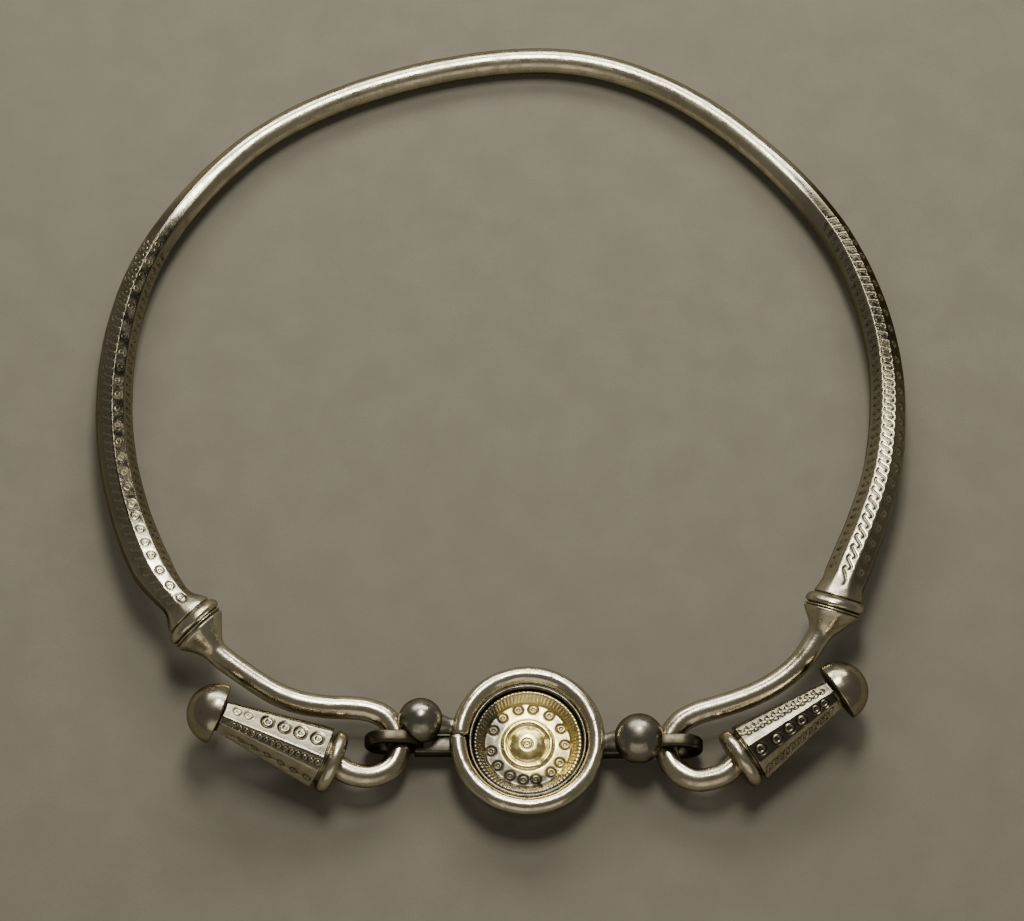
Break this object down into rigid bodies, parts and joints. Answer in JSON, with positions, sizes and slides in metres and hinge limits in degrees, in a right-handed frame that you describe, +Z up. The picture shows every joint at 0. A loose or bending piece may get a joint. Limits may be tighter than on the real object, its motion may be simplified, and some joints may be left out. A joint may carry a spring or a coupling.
{
  "type": "torc",
  "caption": "Open neck ring of silver rod with eight-sided arms and domed terminals, hooked through the eyes of a round gilt-centred bezel.",
  "frame": {"origin": "under the middle of the whole ring, on the plane the bezel's flat base rests on", "axes": "+Z up; +Y from the clasp to the back of the ring; +X to the right seen from the clasp"},
  "size_m": [0.1761, 0.1839, 0.0197],
  "materials": {
    "silver": "old polished silver with olive-brown tarnish in its recesses",
    "tarnished_silver": "silver darkened to a steel grey",
    "gilt": "worn gilding over silver"
  },
  "bodies": {
    "root": {"hoop": "silver", "bezel_cup": "tarnished_silver", "bezel_rim": "silver", "gilt_disc": "gilt"}
  },
  "joints": []
}
